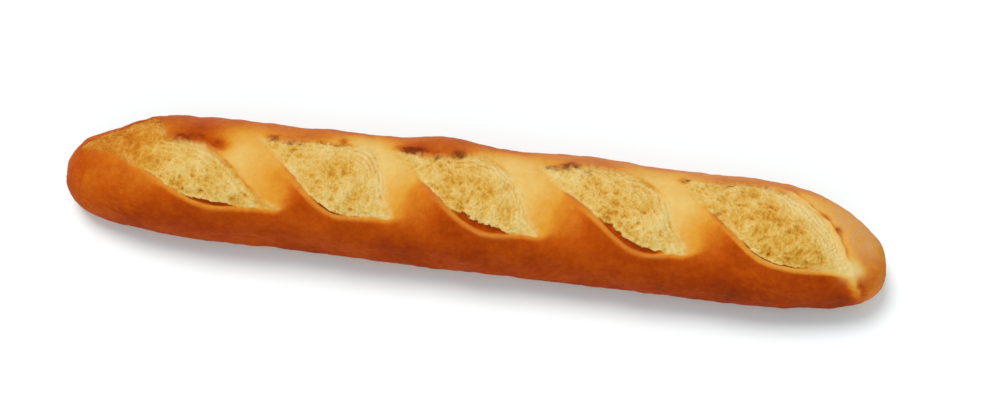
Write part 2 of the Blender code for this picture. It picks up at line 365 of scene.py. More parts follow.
@dataclass
class Form:
    """The loaf's plain form, and its skin laid out flat as length against girth.

    `bluntness` and `nose_bend` are of the left nose and the right one. `nose_height` is the share
    of the height where a nose's tip lies. The loaf is widest at the share `widest_at` of its
    height, which falls to its share `nose_widest` at a nose. `foot_share` is how far the round
    section would go on below that, before the flat foot cuts it off, and `undercut` how fast
    that ends towards a nose. A nose bends from the share `bend_from` of the half length.
    """

    length: float = 0.500
    width: float = 0.0770
    height: float = 0.0580
    bluntness: Pair = (5.3, 5.2)
    nose_roundness: float = 2.6
    nose_height: float = 0.27
    widest_at: float = 0.46
    nose_widest: float = 0.55
    foot_share: float = 1.12
    undercut: float = 2.5
    upper_power: float = 2.0
    lower_power: float = 2.7
    nose_bend: Pair = (0.0010, 0.0045)
    bend_from: float = 0.72
    stations: int = 401
    spokes: int = 541
    tiny: float = 1e-9

    def __post_init__(self) -> None:
        """Works out how the skin's layout maps to the form."""
        self.t = np.sin(np.linspace(-np.pi / 2, np.pi / 2, self.stations))
        angles = np.linspace(-np.pi, np.pi, self.spokes)
        rings = self.section(self.t[:, None], angles[None, :])
        steps = np.linalg.norm(np.diff(rings, axis=1), axis=-1)
        arcs = np.concatenate([np.zeros((self.stations, 1)), np.cumsum(steps, axis=1)], axis=1)
        self.rings = arcs[:, -1]
        self.girth = self.rings.max()
        shares = arcs / np.maximum(self.rings, self.tiny)[:, None] - 0.5
        shares[0], shares[-1] = shares[1], shares[-2]
        even = np.linspace(-0.5, 0.5, self.spokes)
        self.angles = np.array([np.interp(even, row, angles) for row in shares])
        side = np.stack([self.t * self.length / 2, self.width / 2 * self.fullness(self.t)])
        self.run = np.concatenate([[0.0], np.cumsum(np.hypot(*np.diff(side, axis=1)))])
        self.run -= self.run[-1] / 2
        flat = rings[..., 2] <= 0.0
        self.foot = self.girth * np.array(
            [np.abs(s[f]).min() if f.any() else 0.5 for s, f in zip(shares, flat)]
        )

    def fullness(self, t: Array) -> Array:
        """Share of the full section that is left at t, from -1 at the left nose to 1."""
        power = np.where(t < 0, *self.bluntness)
        return np.clip(1.0 - np.abs(t) ** power, 0.0, 1.0) ** (1.0 / self.nose_roundness)

    def section(self, t: Array, angle: Array) -> Array:
        """Points on the form.

        Args:
            t: Places along the loaf, from -1 at the left nose to 1.
            angle: Turns from the top towards the front.

        Returns:
            The points, with the foot flat at height 0.
        """
        full = self.fullness(t)
        half = np.maximum(self.width / 2 * full, self.tiny)
        top = self.height * blend(self.nose_height, 1.0, full)
        widest = self.height * self.widest_at * blend(self.nose_widest, 1.0, full)
        upper = np.cos(angle) > 0
        depth = widest * self.foot_share * (1.0 - (1.0 - full) ** self.undercut)
        rise = np.maximum(np.where(upper, top - widest, depth), self.tiny)
        power = np.where(upper, self.upper_power, self.lower_power)
        reach = (
            (np.abs(np.sin(angle)) / half) ** power + (np.abs(np.cos(angle)) / rise) ** power
        ) ** (-1.0 / power)
        reach = np.where(full > 0, reach, 0.0)
        bend = np.where(t < 0, *self.nose_bend) * smooth(self.bend_from, 1.0, np.abs(t))
        y = -reach * np.sin(angle) - bend
        z = np.maximum(widest + reach * np.cos(angle), 0.0)
        return np.stack(np.broadcast_arrays(t * self.length / 2, y, z), axis=-1)

    def x_at(self, run: Array) -> Array:
        """Length along the loaf, from its length along the skin's side."""
        return np.interp(run, self.run, self.t) * self.length / 2

    def wrap(self, run: Array, girth: Array) -> Array:
        """Wraps places of the layout round the plain form.

        Args:
            run: Lengths along the skin's side.
            girth: Lengths round the loaf from the top ridge.

        Returns:
            Their points on the form.
        """
        last = 1.001
        t = np.interp(run, self.run, self.t)
        row = np.interp(run, self.run, np.arange(self.stations))
        row = np.clip(row, 0, self.stations - last)
        column = (np.clip(girth / self.girth, -0.5, 0.5) + 0.5) * (self.spokes - last)
        i, j = row.astype(int), column.astype(int)
        f, g = row - i, column - j
        near = self.angles[i, j] * (1 - g) + self.angles[i, j + 1] * g
        far = self.angles[i + 1, j] * (1 - g) + self.angles[i + 1, j + 1] * g
        return self.section(t, near * (1 - f) + far * f)

    def frames(self, run: Array, girth: Array, reach: float = 0.002) -> tuple[Array, Array]:
        """Directions at places on the layout.

        Args:
            run: Lengths along the skin's side.
            girth: Lengths round the loaf from the top ridge.
            reach: How far off the neighbouring places are.

        Returns:
            The outward directions, and those that run round the loaf towards the front.
        """
        inner = np.clip(run, self.run[0] + 2 * reach, self.run[-1] - 2 * reach)
        half = self.girth / 2
        turned = [(girth + d + half) % self.girth - half for d in (reach, -reach)]
        along = self.wrap(inner + reach, girth) - self.wrap(inner - reach, girth)
        around = self.wrap(inner, turned[0]) - self.wrap(inner, turned[1])
        outward = np.cross(around, along)
        lengths = [np.linalg.norm(v, axis=1, keepdims=True) for v in (outward, around)]
        return outward / np.maximum(lengths[0], 1e-12), around / np.maximum(lengths[1], 1e-12)


# --------------------------------------------------------------------------- openings


@dataclass(frozen=True)
class Span:
    """A stretch of a lip, from one share of its opening to another, and its gap there."""

    start: float
    end: float
    width: float
    fade: float = 0.05

    def at(self, share: Array) -> Array:
        """1 within the stretch, and 0 beyond its faded ends."""
        return between(share, self.start, self.end, self.fade)


@dataclass(frozen=True)
class Opening:
    """One slanted opening, where the crust has torn apart and the crumb has risen.

    It runs from start to end, both (length, girth) on the laid-out skin. Its lips bow out from
    the line between them by `front` and `back`, given at tenths of its length. `pocket` is the
    gap under the crumb's front edge, and `peel` the one under the back lip. Up to the share `soft`
    its lips have no edge. `toast` is how golden its crumb is at its start, its middle and its
    tail, and `paling` how much paler it gets beside the back lip. `rim` is how strongly the front
    lip curls up, and `lip` how clear the back lip is beside the tail. The stretched skin there
    stays pale for `pale`, and `fading` is how much that skin darkens towards the front.
    """

    start: Pair
    end: Pair
    front: Row
    back: Row
    pocket: Span
    peel: Span
    soft: float
    toast: tuple[float, float, float]
    rim: float = 1.0
    lip: float = 0.5
    paling: float = 0.26
    pale: float = 0.0125
    fading: float = 1.0

    @property
    def length(self) -> float:
        """Length of the line from start to end."""
        return math.dist(self.start, self.end)

    @property
    def along(self) -> Array:
        """Direction of that line."""
        return (np.array(self.end) - np.array(self.start)) / self.length

    @staticmethod
    def bow(share: Array, bows: Row, end_slope: float = 1.6) -> Array:
        """How far a lip bows out, as a smooth curve.

        Args:
            share: Shares of the opening's length.
            bows: The lip's distances at tenths of that length.
            end_slope: How steeply the lip leaves both ends, against a straight line.

        Returns:
            The lip's distance at each share.
        """
        marks = np.array([0.0, *bows, 0.0])
        place = np.clip(share, 0.0, 1.0) * (len(marks) - 1)
        i = np.minimum(place.astype(int), len(marks) - 2)
        f = place - i
        slopes = np.gradient(marks)
        slopes[0], slopes[-1] = end_slope * marks[1], -end_slope * marks[-2]
        return (
            marks[i] * (1 + 2 * f) * (1 - f) ** 2
            + slopes[i] * f * (1 - f) ** 2
            + marks[i + 1] * f * f * (3 - 2 * f)
            - slopes[i + 1] * f * f * (1 - f)
        )

    def place(self, x: Array, girth: Array) -> tuple[Array, Array, Array]:
        """Where places lie in this opening.

        Args:
            x: Lengths along the loaf.
            girth: Lengths round it from the top ridge.

        Returns:
            Share along the opening, distance inside its front lip and inside its back lip.
        """
        offset = np.stack([x, girth], axis=-1) - np.array(self.start)
        share = offset @ self.along / self.length
        out = offset @ np.array([-self.along[1], self.along[0]])
        beyond = np.maximum(np.maximum(-share, share - 1.0), 0.0) * self.length
        step = 0.02
        distances = []
        for bows, side in ((self.front, -1.0), (self.back, 1.0)):
            slope = (self.bow(share + step, bows) - self.bow(share - step, bows)) / (
                2 * step * self.length
            )
            gap = self.bow(share, bows) + side * out
            distances.append(gap / np.sqrt(1 + slope**2) - beyond)
        return share, distances[0], distances[1]


OPENINGS = (
    Opening(
        start=(-0.240, -0.007),
        end=(-0.112, 0.030),
        front=(0.0045, 0.0050, 0.0085, 0.0105, 0.0130, 0.0150, 0.0142, 0.0100, 0.0050),
        back=(0.0170, 0.0280, 0.0320, 0.0176, 0.0178, 0.0180, 0.0148, 0.0082, 0.0022),
        pocket=Span(0.62, 0.78, 0.0027),
        peel=Span(0.60, 0.90, 0.0013),
        soft=0.36,
        toast=(0.74, 0.50, 0.52),
        rim=0.35,
        lip=1.0,
    ),
    Opening(
        start=(-0.133, -0.015),
        end=(-0.044, 0.028),
        front=(0.0032, 0.0060, 0.0095, 0.0127, 0.0153, 0.0168, 0.0160, 0.0112, 0.0057),
        back=(0.0038, 0.0080, 0.0140, 0.0192, 0.0242, 0.0285, 0.0285, 0.0205, 0.0095),
        pocket=Span(0.55, 0.70, 0.0009),
        peel=Span(0.46, 0.54, 0.0010),
        soft=0.26,
        toast=(0.36, 0.44, 0.38),
        rim=0.60,
        lip=0.15,
    ),
    Opening(
        start=(-0.050, -0.014),
        end=(0.044, 0.028),
        front=(0.0045, 0.0072, 0.0100, 0.0124, 0.0148, 0.0160, 0.0152, 0.0112, 0.0052),
        back=(0.0050, 0.0080, 0.0140, 0.0225, 0.0258, 0.0250, 0.0212, 0.0145, 0.0060),
        pocket=Span(0.52, 0.80, 0.0040),
        peel=Span(0.50, 0.64, 0.0014),
        soft=0.26,
        toast=(0.36, 0.46, 0.40),
        lip=0.45,
    ),
    Opening(
        start=(0.037, -0.017),
        end=(0.132, 0.028),
        front=(0.0055, 0.0080, 0.0092, 0.0106, 0.0126, 0.0148, 0.0158, 0.0136, 0.0070),
        back=(0.0045, 0.0135, 0.0190, 0.0225, 0.0245, 0.0244, 0.0212, 0.0145, 0.0058),
        pocket=Span(0.50, 0.86, 0.0031),
        peel=Span(0.54, 0.70, 0.0015),
        soft=0.24,
        toast=(0.32, 0.46, 0.40),
        lip=0.60,
    ),
    Opening(
        start=(0.123, -0.019),
        end=(0.2275, 0.0265),
        front=(0.0087, 0.0123, 0.0150, 0.0177, 0.0205, 0.0210, 0.0180, 0.0130, 0.0066),
        back=(0.0056, 0.0122, 0.0180, 0.0228, 0.0252, 0.0243, 0.0225, 0.0178, 0.0088),
        pocket=Span(0.46, 0.74, 0.0005),
        peel=Span(0.40, 0.78, 0.0010),
        soft=0.20,
        toast=(0.38, 0.54, 0.54),
        rim=0.85,
        lip=0.0,
        paling=0.62,
        fading=0.15,
    ),
)


@dataclass(frozen=True)
class Patch:
    """A patch of skin with its own tone, at a place with a spread, both (length, girth)."""

    place: Pair
    spread: Pair
    bake: float
    burn: float = 0.0

    def at(self, x: Array, girth: Array) -> Array:
        """1 at the middle of the patch, fading to 0 round it."""
        return ridge(x, self.place[0], self.spread[0]) * ridge(girth, self.place[1], self.spread[1])


SCORCHES = (
    Patch((-0.167, -0.017), (0.019, 0.017), 0.80),
    Patch((-0.173, -0.009), (0.012, 0.0050), 0.78, 0.85),
    Patch((-0.155, -0.005), (0.008, 0.0055), 0.80, 0.48),
    Patch((-0.206, -0.025), (0.005, 0.0045), 0.80, 0.70),
    Patch((-0.122, -0.014), (0.005, 0.0034), 0.70, 0.75),
    Patch((-0.109, -0.011), (0.006, 0.0026), 0.70, 0.75),
    Patch((-0.080, -0.017), (0.003, 0.0045), 0.66, 0.45),
    Patch((-0.034, -0.022), (0.014, 0.0070), 0.76),
    Patch((-0.038, -0.0165), (0.010, 0.0036), 0.92, 1.40),
    Patch((-0.024, -0.013), (0.003, 0.0044), 0.76, 0.80),
    Patch((-0.010, -0.016), (0.006, 0.0034), 0.74, 0.90),
    Patch((0.047, -0.014), (0.006, 0.0034), 0.76, 0.95),
    Patch((0.057, -0.017), (0.006, 0.0040), 0.80, 1.05),
    Patch((0.067, -0.013), (0.004, 0.0040), 0.70, 0.65),
    Patch((0.125, -0.0175), (0.004, 0.0026), 0.66, 0.85),
    Patch((0.152, -0.0185), (0.009, 0.0022), 0.64, 0.80),
    Patch((0.187, -0.026), (0.005, 0.0050), 0.62, 0.50),
    Patch((0.208, -0.010), (0.004, 0.0024), 0.62, 0.65),
    Patch((0.217, -0.003), (0.003, 0.0036), 0.64, 0.75),
)


@dataclass(frozen=True)
class Fold:
    """A crack and a crease, where the crust has folded round the right nose, with a pale knot.

    The course, the knot's place and its spread are (length, girth) on the laid-out skin.
    """

    course: tuple[Pair, ...] = (
        (0.183, -0.030),
        (0.192, -0.020),
        (0.203, -0.0125),
        (0.212, -0.007),
        (0.218, -0.001),
        (0.2225, 0.009),
        (0.227, 0.019),
        (0.231, 0.029),
        (0.235, 0.040),
        (0.239, 0.053),
        (0.2415, 0.066),
    )
    height: float = 0.0011
    width: float = 0.0022
    knot: Patch = Patch((0.2275, 0.0235), (0.0070, 0.0075), 0.02)
    knot_height: float = 0.0014

    def offset(self, x: Array, girth: Array) -> tuple[Array, Array]:
        """Where places lie beside the course.

        Args:
            x: Lengths along the loaf.
            girth: Lengths round it from the top ridge.

        Returns:
            Distance from the course, positive towards the nose, and share along it.
        """
        best = np.full(len(x), 1.0)
        share = np.zeros(len(x))
        places = np.stack([x, girth], axis=1)
        steps = len(self.course) - 1
        for k, (a, b) in enumerate(zip(self.course, self.course[1:])):
            line = np.array(b) - np.array(a)
            rest = places - np.array(a)
            t = np.clip(rest @ line / (line @ line), 0.0, 1.0)
            gap = rest - t[:, None] * line
            side = np.sign(line[1] * rest[:, 0] - line[0] * rest[:, 1])
            distance = np.hypot(*gap.T) * np.where(side == 0, 1.0, side)
            nearer = np.abs(distance) < np.abs(best)
            best = np.where(nearer, distance, best)
            share = np.where(nearer, (k + t) / steps, share)
        return best, share


# --------------------------------------------------------------------------- finishes


@dataclass(frozen=True)
class BreadFinish:
    """Baked crust and torn crumb, in one material led by values stored on the skin, with painted
    shade in the crumb's hollows.
    """

    name: str = "baked_bread"
    crust_shades: tuple[tuple[float, Colour], ...] = (
        (0.00, tint(236, 194, 116)),
        (0.18, tint(230, 172, 84)),
        (0.36, tint(226, 148, 46)),
        (0.54, tint(212, 112, 26)),
        (0.70, tint(190, 78, 8)),
        (0.85, tint(160, 54, 2)),
        (1.00, tint(108, 34, 4)),
    )
    # The crumb ramp's darkest end also serves as painted shade in the crumb's hollows.
    crumb_shades: tuple[tuple[float, Colour], ...] = (
        (0.00, tint(238, 200, 130)),
        (0.30, tint(231, 185, 104)),
        (0.50, tint(224, 168, 74)),
        (0.72, tint(208, 138, 44)),
        (1.00, tint(178, 102, 28)),
    )
    burnt: Colour = tint(118, 40, 4)
    flour: Colour = tint(236, 202, 146)
    patch_scales: Pair = (42.0, 95.0)
    mottle_scale: float = 260.0
    speckle_scale: float = 900.0
    grain_scale: float = 1600.0
    pore_scale: float = 620.0
    relief_height: float = 0.0006
    relief_strength: float = 0.6
    roughness: float = 0.52
    crumb_roughness: float = 0.34
    shine: float = 0.02

    def make(self) -> bpy.types.Material:
        """Builds the material.

        Returns:
            The material.
        """
        material = bpy.data.materials.new(self.name)
        tree = ShaderTree(material)
        place = tree.node("ShaderNodeTexCoord", {}, {}, "Object")
        stored = ("crumb", "bake", "burn", "toast", "crest", "dust")
        crumb, bake, burn, toast, crest, dust = (tree.attribute(name) for name in stored)
        broad = tree.noise(place, self.patch_scales[0], 3.0)
        patch = tree.noise(place, self.patch_scales[1], 3.0, 0.5)
        mottle = tree.noise(place, self.mottle_scale, 4.0, 0.6)
        speckle = tree.noise(place, self.speckle_scale, 2.0)
        crust_tone = bake + (broad - 0.5) * 0.20 + (mottle - 0.5) * 0.20 + (speckle - 0.5) * 0.08
        crust = tree.shade(self.crust_shades, crust_tone)
        # Painted shade: the crumb is darker where `crest` is low, in its hollows, on top of its own
        # toast and mottling.
        crumb_tone_and_shade = toast + (patch - 0.5) * 0.36 + (mottle - 0.5) * 0.48
        crumb_tone_and_shade = crumb_tone_and_shade + (speckle - 0.5) * 0.44 + (0.5 - crest) * 0.72
        inside = tree.shade(self.crumb_shades, crumb_tone_and_shade)
        colour = tree.mix(crumb, crust, inside)
        scorch = (burn * (0.30 + 1.4 * mottle)).ramped(0.10, 0.95, "SMOOTHSTEP")
        colour = tree.mix(scorch * 0.85, colour, self.burnt)
        colour = tree.mix((dust * (0.4 + 1.2 * mottle)).clamped() * 0.6, colour, self.flour)
        pores = tree.node(
            "ShaderNodeTexVoronoi",
            {"feature": "SMOOTH_F1"},
            {"Vector": place, "Scale": self.pore_scale, "Smoothness": 0.5},
        )
        grain = tree.noise(place, self.grain_scale, 3.0, 0.6)
        crust_relief = grain * 0.55 + speckle * 0.9 + mottle
        crumb_relief = pores * 1.8 + speckle * 1.6 + grain
        relief = crust_relief * (1 - crumb) + crumb_relief * crumb
        bump = tree.node(
            "ShaderNodeBump",
            {},
            {
                "Height": relief,
                "Distance": self.relief_height,
                "Strength": self.relief_strength,
            },
        )
        tree.finish(
            {
                "Base Color": colour,
                "Roughness": self.roughness + self.crumb_roughness * crumb + (mottle - 0.5) * 0.18,
                "Normal": bump,
                "Specular IOR Level": self.shine,
            }
        )
        return material


@dataclass(frozen=True)
class FloorFinish:
    """A pale matt floor."""

    name: str = "pale_floor"
    colour: Colour = (1.0, 1.0, 1.0, 1.0)

    def make(self) -> bpy.types.Material:
        """Builds the material.

        Returns:
            The material.
        """
        material = bpy.data.materials.new(self.name)
        ShaderTree(material).finish(
            {"Base Color": self.colour, "Roughness": 0.95, "Specular IOR Level": 0.0}
        )
        return material


# --------------------------------------------------------------------------- the loaf


class Density(Enum):
    """How close together the skin's points are, and how far from a lip that holds."""

    FINE = (0.00056, 0.0024)
    MIDDLE = (0.00100, 0.0062)
    PLAIN = (0.00190, 1.0)

    @property
    def step(self) -> float:
        """Distance between points."""
        return self.value[0]

    @property
    def reach(self) -> float:
        """How far outside an opening these points go."""
        return self.value[1]


@dataclass
class Surface:
    """What is known at each point of the skin while it is being shaped and baked.

    A point ends up moved outwards by `height` and towards the front by `overhang`. From 0 to 1,
    `bake` is how dark the crust is, `burn` where it is burnt, `dust` where flour lies, `crumb`
    where the crumb is bare, `toast` how golden that is and `crest` how high its lumps stand.
    `bake`, `toast` and `burn` also carry painted shade in the crack, the pocket and the gaps at the
    lips, and the finish paints shade into the crumb's hollows from `crest`.
    """

    x: Array
    girth: Array
    plain: Array

    def __post_init__(self) -> None:
        """Starts with an even skin, and draws the ragged line that lips follow."""
        for name in ("height", "overhang", "bake", "crumb", "burn"):
            setattr(self, name, np.zeros_like(self.x))
        self.toast = np.full_like(self.x, 0.4)
        self.crest = np.full_like(self.x, 0.5)
        self.dust = 0.9 * (1 - smooth(0.0, 0.006, self.plain[:, 2]))
        self.flat = np.stack([self.x, self.girth, np.full_like(self.x, 0.0004)], axis=1)
        self.fray = Roughness(31).layered(self.flat * 340.0, 2) + 0.9 * self.noise(31, 140.0, 3.0)

    def noise(self, seed: int, scale: float, shift: float) -> Array:
        """Smooth noise over the laid-out skin, of about -1 to 1."""
        return Roughness(seed).at(self.flat * scale + shift)

    def colour_towards(self, tone: Array | float, share: Array) -> None:
        """Moves the bake towards a tone."""
        self.bake = blend(self.bake, tone, np.clip(share, 0.0, 1.0))

    def burn_to(self, amount: Array) -> None:
        """Burns the crust at least this much."""
        self.burn = np.maximum(self.burn, amount)

    def dust_to(self, amount: Array) -> None:
        """Lays at least this much flour."""
        self.dust = np.maximum(self.dust, amount)

    def stored(self) -> dict[str, Array]:
        """What the finish reads, by name."""
        names = ("crumb", "bake", "burn", "toast", "crest", "dust")
        return {name: getattr(self, name) for name in names}


@dataclass(frozen=True)
class CrumbRelief:
    """Sizes and heights of what the torn crumb is made of."""

    lump_size: float = 0.0085
    lump_height: float = 0.00075
    knob_size: float = 0.0038
    small_knob_size: float = 0.0021
    knob_height: float = 0.00095
    grain_size: float = 0.0015
    grain_height: float = 0.00026
    hole_size: float = 0.0030
    hole_depth: float = 0.0018
    strand_width: float = 0.0036
    strand_height: float = 0.00066
    knob_height_by_strands: float = 0.00044
    wander: float = 0.0022
    bend: float = 0.0034

    def heights(self, flat: Array, back: Array, share: Array) -> Array:
        """Shapes the crumb of one opening.

        Args:
            flat: Places on the laid-out skin.
            back: Their distances inside the back lip, which the strands run beside.
            share: Their shares along the opening.

        Returns:
            How far the crumb stands up at each place.
        """
        tears = Roughness(23)
        wander = self.wander * tears.at(flat * 110.0 + 5.0)
        bent = flat + np.stack([wander, -wander, 0 * wander], axis=1)

        def creased(size: float, shift: float) -> Array:
            """Round knobs with sharp creases between them."""
            return 0.40 - np.abs(tears.at(bent / size + shift)) * 1.3

        lumps = tears.at(flat / self.lump_size + 1.5)
        knobs = creased(self.knob_size, 2.5) + 0.6 * creased(self.small_knob_size, 9.5)
        grains = tears.at(flat / self.grain_size + 3.5)
        bend = self.bend * tears.at(flat * 52.0 + 4.5) + 0.7 * wander
        turns = 2 * math.pi * (back + bend) / self.strand_width
        thick = tears.at(flat * 160.0 + 7.5)
        strands = np.cos(turns) * (0.42 + 0.5 * thick) + 0.14 * np.cos(2.3 * turns + 4.0 * thick)
        drawn = smooth(0.22, 0.52, share) * ridge(back, 0.004, 0.008, 0.016)
        stranded = self.strand_height * strands + self.knob_height_by_strands * knobs
        holes = np.maximum(tears.at(flat / self.hole_size + 6.5) - 0.48, 0.0)
        return (
            self.lump_height * lumps
            + blend(self.knob_height * knobs, stranded, 0.85 * drawn)
            + self.grain_height * grains
            - self.hole_depth * holes
        )


@dataclass
class Tear:
    """How the skin is shaped and baked at one opening.

    Tones go from 0, pale, to 1, dark. What `starts` or `ends` does so between two shares of the
    opening's length. A `line` is a ridge's place inside its lip and the widths of its flanks.
    """

    skin: Surface
    opening: Opening
    relief: CrumbRelief = CrumbRelief()
    crumb_rise: float = 0.0034
    crumb_slopes: Pair = (0.0050, 0.0075)
    swell: float = 0.0026
    swell_reach: float = 0.022
    rim_rise: float = 0.0021
    rim_width: float = 0.0017
    rim_tone: float = 0.60
    under_rim_tone: float = 0.82
    crack_width: float = 0.0008
    crack_depth: float = 0.0007
    crack_tone_and_shade: float = 0.80
    pocket_depth: float = 0.0024
    pocket_overhang: float = 0.0012
    back_lip_rise: float = 0.0013
    back_lip_groove: float = 0.0014
    tail_lip_rise: float = 0.0008
    peel_depth: float = 0.0010
    pale_tones: Pair = (0.05, 0.41)
    golden_tones: Pair = (0.30, 0.60)
    soft_tail_starts: Pair = (0.42, 0.66)
    crack_ends: Pair = (0.86, 0.98)
    rim_ends: Pair = (0.78, 0.95)
    upper_lip_starts: Pair = (0.04, 0.16)
    upper_lip_ends: Pair = (0.46, 0.66)
    tail_lip_starts: Pair = (0.52, 0.68)
    tail_lip_ends: Pair = (0.94, 1.04)
    middle_starts: Pair = (0.16, 0.50)
    tail_starts: Pair = (0.55, 0.80)
    paling_starts: Pair = (0.30, 0.55)
    dark_front_ends: Pair = (0.92, 1.02)
    bridge_starts: Pair = (0.24, 0.56)
    bridge_ends: Pair = (1.00, 1.16)
    back_lip_line: Row = (-0.0004, 0.0034, 0.0006)
    groove_line: Row = (0.0013, 0.0009, 0.0016)
    tail_lip_line: Row = (0.0003, 0.0014, 0.0010)
    tail_crease_line: Row = (0.0024, 0.0010)
    curl_line: Row = (0.0004, 0.0006, 0.0014)
    fringe_line: Row = (0.0005, 0.0006, 0.0016)
    dark_front_line: Row = (-0.0034, 0.0130, 0.0012)

    def __post_init__(self) -> None:
        """Works out where each point lies, and where the opening has which edge."""
        skin, opening = self.skin, self.opening
        self.share, self.front, self.back = opening.place(skin.x, skin.girth)
        share = self.share
        self.inside = np.minimum(self.front, self.back)
        self.soft_start = 1 - smooth(opening.soft - 0.14, opening.soft + 0.05, share)
        self.soft_tail = smooth(*self.soft_tail_starts, share)
        self.pocket = opening.pocket.at(share)
        edge = smooth(opening.soft - 0.06, opening.soft + 0.06, share)
        cracked = edge * (1 - smooth(*self.crack_ends, share))
        self.gap = self.crack_width * cracked + opening.pocket.width * self.pocket
        self.gap += skin.fray * (0.00045 + 0.17 * opening.pocket.width * self.pocket)
        self.rim = edge * (1 - smooth(*self.rim_ends, share))
        self.upper = smooth(*self.upper_lip_starts, share)
        self.upper = self.upper * (1 - smooth(*self.upper_lip_ends, share))
        self.ragged_back = self.back - 0.0011 * skin.fray
        self.held = smooth(-0.0010, 0.0012, self.back)
        self.soft_back = 1 - smooth(opening.soft - 0.04, opening.soft + 0.14, share)
        self.baked_start = self.soft_back * smooth(0.5, 0.8, opening.toast[0])
        self.front_side = smooth(-0.0045, 0.0015, self.front)

    def tear(self) -> None:
        """Raises the crumb between the lips."""
        skin = self.skin
        width = blend(0.0006 + 0.0005 * self.pocket, 0.0030, self.soft_start)
        in_front = smooth(-1.0, 1.0, (self.front - self.gap) / width)
        crisp = smooth(-0.0004, 0.0005, self.ragged_back)
        soft = smooth(-0.0028, 0.0046, self.ragged_back)
        in_back = blend(crisp, soft, np.maximum(0.9 * self.soft_back, self.soft_tail))
        self.torn = in_front * in_back
        front_slope, back_slope = self.crumb_slopes
        rise = (1 - np.exp(-np.maximum(self.front - self.gap, 0) / front_slope)) * (
            1 - np.exp(-np.maximum(self.back, 0) / back_slope)
        )
        lumps = self.relief.heights(skin.flat, self.back, self.share)
        skin.height += self.swell * self.mound() + self.crumb_rise * rise
        skin.height += self.torn * lumps * smooth(-0.0005, 0.0030, self.inside)
        skin.crumb = np.maximum(skin.crumb, self.torn * (1 - 0.45 * self.baked_start))
        # crest keeps each lump's height; the finish paints shade into the low parts from it.
        skin.crest = blend(skin.crest, np.clip(0.5 + lumps / 0.0023, 0.0, 1.0), self.torn)
        skin.toast = np.where(self.inside > -0.005, self.golden(), skin.toast)

    def mound(self) -> Array:
        """The swell of the loaf round the opening."""
        outside = np.minimum(self.inside, 0.0)
        return ridge(outside, 0.0, self.swell_reach) * ridge(self.share, 0.5, 0.62)

    def golden(self) -> Array:
        """Toasts the crumb from its start to its tail, most of all along the rim.

        Returns:
            How golden it is at each point.
        """
        start, middle, tail = self.opening.toast
        golden = blend(start, middle, smooth(*self.middle_starts, self.share))
        golden = blend(golden, tail, smooth(*self.tail_starts, self.share))
        golden += 0.10 * ridge(self.front, 0.0, 0.0060) * self.rim
        beside = ridge(self.back, 0.0, 0.0120) * smooth(*self.paling_starts, self.share)
        return golden - self.opening.paling * beside

    def edge_front(self) -> None:
        """Curls the front lip up into a rim, with a crack or a pocket behind it, darkened partly as
        painted shade.
        """
        skin, front = self.skin, self.front
        past_gap = front - self.gap
        uneven = np.clip(0.5 + 0.7 * skin.noise(37, 75.0, 2.0), 0.0, 1.0)
        curled = self.rim * self.opening.rim * self.held * (0.62 + 0.38 * uneven)
        width = self.rim_width * (0.80 + 0.45 * uneven)
        broad = ridge(front, -0.0010, 1.6 * width, 0.0016)
        across = (front + width / 2 - 0.0002) / (width / 2)
        bead = np.sqrt(np.maximum(1 - across**2, 0.0))
        wave = 1 + 0.22 * np.clip(skin.fray, -1, 1)
        skin.height += self.rim_rise * curled * (0.42 * broad + 0.58 * bead * wave)
        depth = blend(self.crack_depth, self.pocket_depth, self.pocket)
        behind = smooth(0.0002, 0.0010, front) * smooth(0.0, 0.0015, self.back)
        sunk = behind * (1 - smooth(-0.0003, 0.0004, past_gap)) * self.rim
        skin.height -= depth * sunk
        curl = ridge(past_gap, *self.curl_line) * self.pocket * self.torn
        skin.overhang += self.pocket_overhang * curl
        skin.toast -= 0.30 * ridge(past_gap, *self.fringe_line) * self.rim * self.torn
        below = ridge(front, *self.dark_front_line) * smooth(-0.0004, -0.0026, front)
        deep = below * smooth(self.opening.soft + 0.06, self.opening.soft + 0.24, self.share)
        deep = deep * (1 - smooth(*self.dark_front_ends, self.share))
        skin.colour_towards(self.under_rim_tone, 0.72 * deep)
        skin.colour_towards(self.rim_tone, 0.85 * bead * curled)
        skin.dust_to(0.16 * bead * curled)
        # Darker in the crack and pocket behind the rim: partly the bared surface's deeper bake,
        # partly painted shade in the recess.
        skin.colour_towards(self.crack_tone_and_shade, sunk * self.held * blend(0.50, 0.90, self.pocket))

    def edge_back(self) -> None:
        """Raises the ragged back lip, thinning out towards the tail, with painted shadow under it
        and beside the tail.
        """
        skin, back = self.skin, self.ragged_back
        skin.height += self.back_lip_rise * self.upper * ridge(back, *self.back_lip_line)
        groove = ridge(back, *self.groove_line) * self.torn
        skin.height -= self.back_lip_groove * self.upper * groove
        broken = skin.noise(41, 120.0, 4.0)
        edge = self.back - 0.0006 * broken
        tail = smooth(*self.tail_lip_starts, self.share)
        tail = tail * (1 - smooth(*self.tail_lip_ends, self.share))
        tail = tail * self.front_side * self.opening.lip * np.clip(0.70 + 0.8 * broken, 0.0, 1.0)
        crease = ridge(edge, *self.tail_crease_line)
        skin.height += self.tail_lip_rise * tail * (ridge(edge, *self.tail_lip_line) - crease)
        # Painted shadow: the crumb is toasted darker in the crease beside the tail lip.
        skin.toast += 0.26 * tail * crease
        # Painted shadow: the gap under the back lip is darkened through toast, bake and the burnt
        # colour.
        peel = self.opening.peel
        shade = peel.at(self.share) * ridge(edge, 0.0008, peel.width) * (0.7 + 0.5 * broken)
        skin.height -= self.peel_depth * shade
        skin.toast += 0.50 * shade
        skin.bake += 0.30 * shade
        skin.burn_to(0.40 * np.clip(shade, 0.0, 1.0))
        singed = ridge(np.maximum(-back, 0.0), 0.0, 0.0080) * self.upper * (back < 0.0008)
        skin.bake += 0.10 * singed

